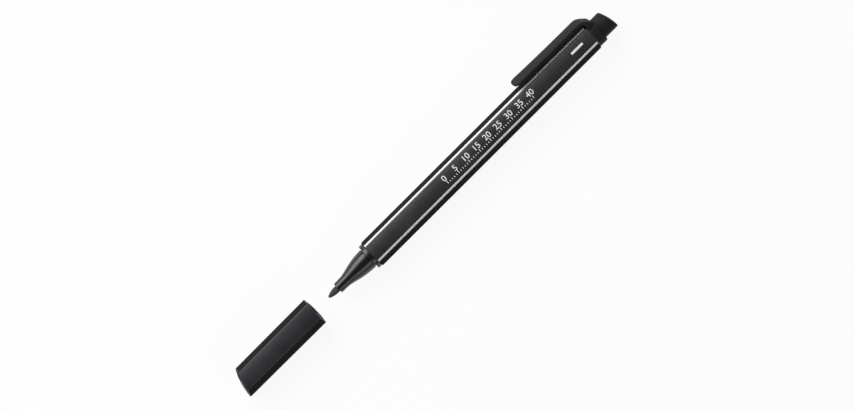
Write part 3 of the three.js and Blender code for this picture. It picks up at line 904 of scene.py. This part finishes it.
def draw_bar_section(x, half, top, bottom):
    """Draws a rounded oblong outline and fills it."""
    start_outline(x, 0, top)
    extrude((0, half - CLIP_EDGE, 0))
    spin_round((x, half - CLIP_EDGE, top - CLIP_EDGE), radians(90), EDGE_STEPS)
    extrude((0, 0, bottom - top + 2 * CLIP_EDGE))
    spin_round((x, half - CLIP_EDGE, bottom + CLIP_EDGE), radians(90), EDGE_STEPS)
    extrude((0, 2 * (CLIP_EDGE - half), 0))
    spin_round((x, CLIP_EDGE - half, bottom + CLIP_EDGE), radians(90), EDGE_STEPS)
    extrude((0, 0, top - bottom - 2 * CLIP_EDGE))
    spin_round((x, CLIP_EDGE - half, top - CLIP_EDGE), radians(90), EDGE_STEPS)
    merge_points()
    bpy.ops.mesh.edge_face_add()


def make_clip_bar():
    """The clip's arm and shoulder, upright over the axis, as one extruded bar."""
    arm = arm_stations()
    draw_bar_section(*arm[0])
    extrude_bar(arm)
    bpy.ops.mesh.extrude_region_move()
    bpy.ops.mesh.merge(type="CENTER")
    bpy.ops.object.mode_set(mode="OBJECT")
    bar = bpy.context.object
    select_end(bar, 1)
    shoulder = shoulder_stations()
    extrude_bar(shoulder)
    finish_mesh()
    lean_flanks(bar, shoulder)
    return bar


def make_clip_moulding():
    """Collar, stub and clip in one, with the hollow that goes on from the spigot's bore."""
    collar_end = rear_face + COLLAR_THICKNESS
    stub_end = collar_end + STUB_LENGTH
    stub = turned([
        (rear_face + STUB_START, 0),
        (rear_face + STUB_START, STUB_RADIUS),
        (stub_end, STUB_RADIUS),
        (stub_end, 0),
    ])
    shape_end(stub, 1, stub_end, STUB_SLANT, STUB_DOME, STUB_EDGE)
    round_middle = COLLAR_ROUND * 0.3  # how near the middle of a rounded edge comes to its corner
    collar = turned([
        (rear_face, 0),
        (rear_face, COLLAR_RADIUS),
        (collar_end - COLLAR_ROUND, COLLAR_RADIUS),
        (collar_end - round_middle, COLLAR_RADIUS - round_middle),
        (collar_end, COLLAR_RADIUS - COLLAR_ROUND),
        (collar_end, 0),
    ])
    combine(collar, stub, "UNION")
    combine(collar, make_clip_bar(), "UNION")
    bore = SPIGOT_RADIUS - PLUG_WALL
    hollow = turned([
        (rear_face - OVERCUT, 0),
        (rear_face - OVERCUT, bore),
        (collar_end + PLUG_HOLLOW, bore),
        (collar_end + PLUG_HOLLOW, 0),
    ])
    combine(collar, hollow, "DIFFERENCE")
    return place_in_frame(collar, "clip_moulding", CLIP_AZIMUTH)


def make_plug_spigot():
    """The hollow spigot that is pressed into the barrel."""
    bore = SPIGOT_RADIUS - PLUG_WALL
    start = rear_face - PLUG_SPIGOT
    spigot = turned([
        (start, bore),
        (start, SPIGOT_RADIUS - PLUG_CHAMFER),
        (start + PLUG_CHAMFER, SPIGOT_RADIUS),
        (rear_face, SPIGOT_RADIUS),
        (rear_face, bore),
        (start, bore),
    ])
    return place_in_frame(spigot, "plug_spigot")


matt_black = moulded_plastic(
    "matt_black",
    dark=(0.0155, 0.0156, 0.0175),
    light=(0.022, 0.0221, 0.0245),
    roughness=(0.52, 0.62),
    gloss=0.09,
    grain_height=0.00005,
    grains=5200,
    mottles=300,
)
clip_moulding = make_clip_moulding()
clip_moulding.data.materials.append(matt_black)
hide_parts("rear_plug", "clip_arm")
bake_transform(clip_moulding)
plug_spigot = make_plug_spigot()
plug_spigot.data.materials.append(matt_black)
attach(plug_spigot, "pen_body")


# Cap. A moulded shell of the barrel's section with softer edges, a little slimmer towards its
# closed end, which is domed and slopes back on the clip's side. A slot and a crescent notch in
# the rim let air through, for the case that it is swallowed. It lies pulled off, beyond the nib.

CAP_LENGTH = 34.66
CAP_PROUD = 0.1  # how far its wide faces stand out past the barrel's
CAP_EDGE = 0.65
CAP_DRAFT = 0.025  # how much slimmer the closed end is, as a share
CAP_SLANT = 0.31  # slope of the closed end
CAP_DOME = 23  # radius of its dome
CAP_RIM = 0.35
CAP_BORE = 4
CAP_SHELF_BORE = 3.35
CAP_SHELF_DEPTH = 20.55
CAP_END_WALL = 1.2
CAP_MOUTH_ROUND = 0.12
CAP_MOUTH_ANGLE = 70  # degrees; only the edges of the mouth and in the hollow are sharper
VENT_ARC = radians(60)
VENT_WIDTH = 0.9
VENT_STEPS = 24
NOTCH_DEPTH = 0.7
NOTCH_RADIUS = 4.2

cap_mouth = ends("cap")[1].x


def cap_end(height):
    """Where the closed end lies along X at a height above the axis, on the clip's side."""
    return cap_mouth - CAP_LENGTH + CAP_SLANT * height + height**2 / (2 * CAP_DOME)


def make_vent_slot():
    """The arc-shaped slot through the closed end."""
    start_outline(cap_mouth - CAP_LENGTH - 2 * OVERCUT, 0, CAP_SHELF_BORE - VENT_WIDTH)
    extrude((0, 0, VENT_WIDTH))
    extrude((CAP_LENGTH / 2, 0, 0))
    extrude((0, 0, -VENT_WIDTH))
    bpy.ops.mesh.select_all(action="SELECT")
    bpy.ops.mesh.edge_face_add()
    spin_round((0, 0, 0), VENT_ARC, VENT_STEPS)
    slot = finish_mesh()
    slot.rotation_euler.x = VENT_ARC / 2
    return slot


def make_vent_notch():
    """The round scoop that cuts a crescent out of the closed end's rim."""
    rim = cap_end(narrow_face * (1 - CAP_DRAFT))
    depth = narrow_face
    place = (rim + NOTCH_DEPTH - NOTCH_RADIUS, 0, CAP_SHELF_BORE - VENT_WIDTH + depth / 2)
    bpy.ops.object.select_all(action="DESELECT")
    bpy.ops.mesh.primitive_cylinder_add(
        vertices=ROUND_STEPS, radius=NOTCH_RADIUS, depth=depth, location=place
    )
    return bpy.context.object


def make_cap():
    """The shell, made upright, with the narrow face of the clip's side on top."""
    draw_section(cap_mouth, wide_face + CAP_PROUD, CAP_EDGE, first=CORNER)
    bpy.ops.mesh.edge_face_add()
    extrude((-CAP_LENGTH, 0, 0))
    slimmer = 1 - CAP_DRAFT
    bpy.ops.transform.resize(value=(1, slimmer, slimmer), center_override=(0, 0, 0))
    cap = finish_mesh()
    shape_end(cap, -1, cap_end(0), CAP_SLANT, CAP_DOME, CAP_RIM)
    floor_x = cap_end(CAP_SHELF_BORE) + CAP_END_WALL
    hollow = turned([
        (floor_x, 0),
        (floor_x, CAP_SHELF_BORE),
        (cap_mouth - CAP_SHELF_DEPTH, CAP_SHELF_BORE),
        (cap_mouth - CAP_SHELF_DEPTH, CAP_BORE),
        (cap_mouth + OVERCUT, CAP_BORE),
        (cap_mouth + OVERCUT, 0),
    ])
    combine(cap, hollow, "DIFFERENCE")
    round_edges(cap, CAP_MOUTH_ROUND, segments=2, sharper_than=CAP_MOUTH_ANGLE)
    combine(cap, make_vent_slot(), "DIFFERENCE")
    combine(cap, make_vent_notch(), "DIFFERENCE")
    return place_in_frame(cap, "cap_shell", CLIP_AZIMUTH)


satin_cap = moulded_plastic(
    "satin_cap",
    dark=(0.012, 0.0105, 0.0145),
    light=(0.0165, 0.0145, 0.019),
    roughness=(0.46, 0.54),
    gloss=0.5,
    grain_height=0.00002,
)
cap = make_cap()
cap.data.materials.append(satin_cap)
finish_faces(cap, dull_black, on_narrow_face)
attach(cap, "cap")
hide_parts("cap")

seal_plastic = moulded_plastic(
    "seal_plastic",
    dark=(0.010, 0.010, 0.011),
    light=(0.016, 0.016, 0.018),
    roughness=(0.3, 0.4),
    gloss=0.3,
    grain_height=0.000005,
)
dress("cap_seal", seal_plastic)


# Print. White pad printing along the middle of the wide face that is up: a plain scale in
# millimetres with its numbers, and a short bar that shows how wide the pen draws.

SCALE_START = -16.7
SCALE_LENGTH = 40
SCALE_STEP = 5
SCALE_FOOT = -1.6
NUMBER_HEIGHT = 2.1
NUMBER_FOOT = -0.35
NUMBER_BOLDER = 0.012  # how far the outlines of the figures are moved outwards
NUMBER_STEPS = 4  # in each curved stretch of a figure
FIGURE_HEIGHT = 0.7  # of a font's size
TICK_WIDTH = 0.22
LONG_TICK = 1.05
SHORT_TICK = 0.55
BAR_START = 42.2
BAR_LENGTH = 5.2
BAR_WIDTH = 0.8
INK_HEIGHT = 0.012
INK_SINK = 0.006
PRINT_CUT = 0.4  # distance between the cuts that let the print follow the crown
PRINT_CUTS = 5  # on each side of the middle one
PRINT_SLIVER = 0.003  # well under the thickness of the print


def print_bar(x, y, length, width):
    """A flat bar of print from a corner, as yet laid out on a flat sheet."""
    bpy.ops.object.select_all(action="DESELECT")
    bpy.ops.mesh.primitive_plane_add(size=1, location=(x + length / 2, y + width / 2, 0))
    bar = bpy.context.object
    bar.scale = (length, width, 1)
    return bar


def print_number(value, x):
    """A printed number, centred over its tick."""
    bpy.ops.object.select_all(action="DESELECT")
    bpy.ops.object.text_add(location=(x, NUMBER_FOOT, 0))
    number = bpy.context.object
    number.data.body = str(value)
    number.data.size = NUMBER_HEIGHT / FIGURE_HEIGHT
    number.data.offset = NUMBER_BOLDER
    number.data.align_x = "CENTER"
    number.data.resolution_u = NUMBER_STEPS
    bpy.ops.object.convert(target="MESH")
    return bpy.context.object


def lay_out_print():
    """The bar, the scale's ticks and its numbers, joined on a flat sheet."""
    pieces = [print_bar(BAR_START, -BAR_WIDTH / 2, BAR_LENGTH, BAR_WIDTH)]
    for millimetre in range(SCALE_LENGTH + 1):
        x = SCALE_START + millimetre
        numbered = millimetre % SCALE_STEP == 0
        tick = LONG_TICK if numbered else SHORT_TICK
        pieces.append(print_bar(x - TICK_WIDTH / 2, SCALE_FOOT, TICK_WIDTH, tick))
        if numbered:
            pieces.append(print_number(millimetre, x))
    for piece in pieces:
        piece.select_set(True)
    bpy.context.view_layer.objects.active = pieces[0]
    bpy.ops.object.join()
    bpy.ops.object.transform_apply(location=True, rotation=True, scale=True)
    return bpy.context.object


def make_print():
    """The flat sheet, laid on the crowned face, with a thickness that sinks a little into it."""
    sheet = lay_out_print()
    bpy.ops.object.mode_set(mode="EDIT")
    merge_points()
    for cut in range(-PRINT_CUTS, PRINT_CUTS + 1):
        bpy.ops.mesh.select_all(action="SELECT")
        bpy.ops.mesh.bisect(plane_co=(0, cut * PRINT_CUT, 0), plane_no=(0, 1, 0))
    bpy.ops.object.mode_set(mode="OBJECT")
    crown_centre = wide_face - CROWN_RADIUS
    for vertex in sheet.data.vertices:
        vertex.co.z = crown_centre + sqrt(CROWN_RADIUS**2 - vertex.co.y**2) + INK_HEIGHT
    thickness = sheet.modifiers.new("Ink", "SOLIDIFY")
    thickness.thickness = INK_HEIGHT + INK_SINK
    thickness.offset = -1
    apply_modifier(sheet, thickness)
    return place_in_frame(sheet, "printed_scale", sliver=PRINT_SLIVER)


printed_scale = make_print()
printed_scale.data.materials.append(white_ink)
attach(printed_scale, "pen_body")
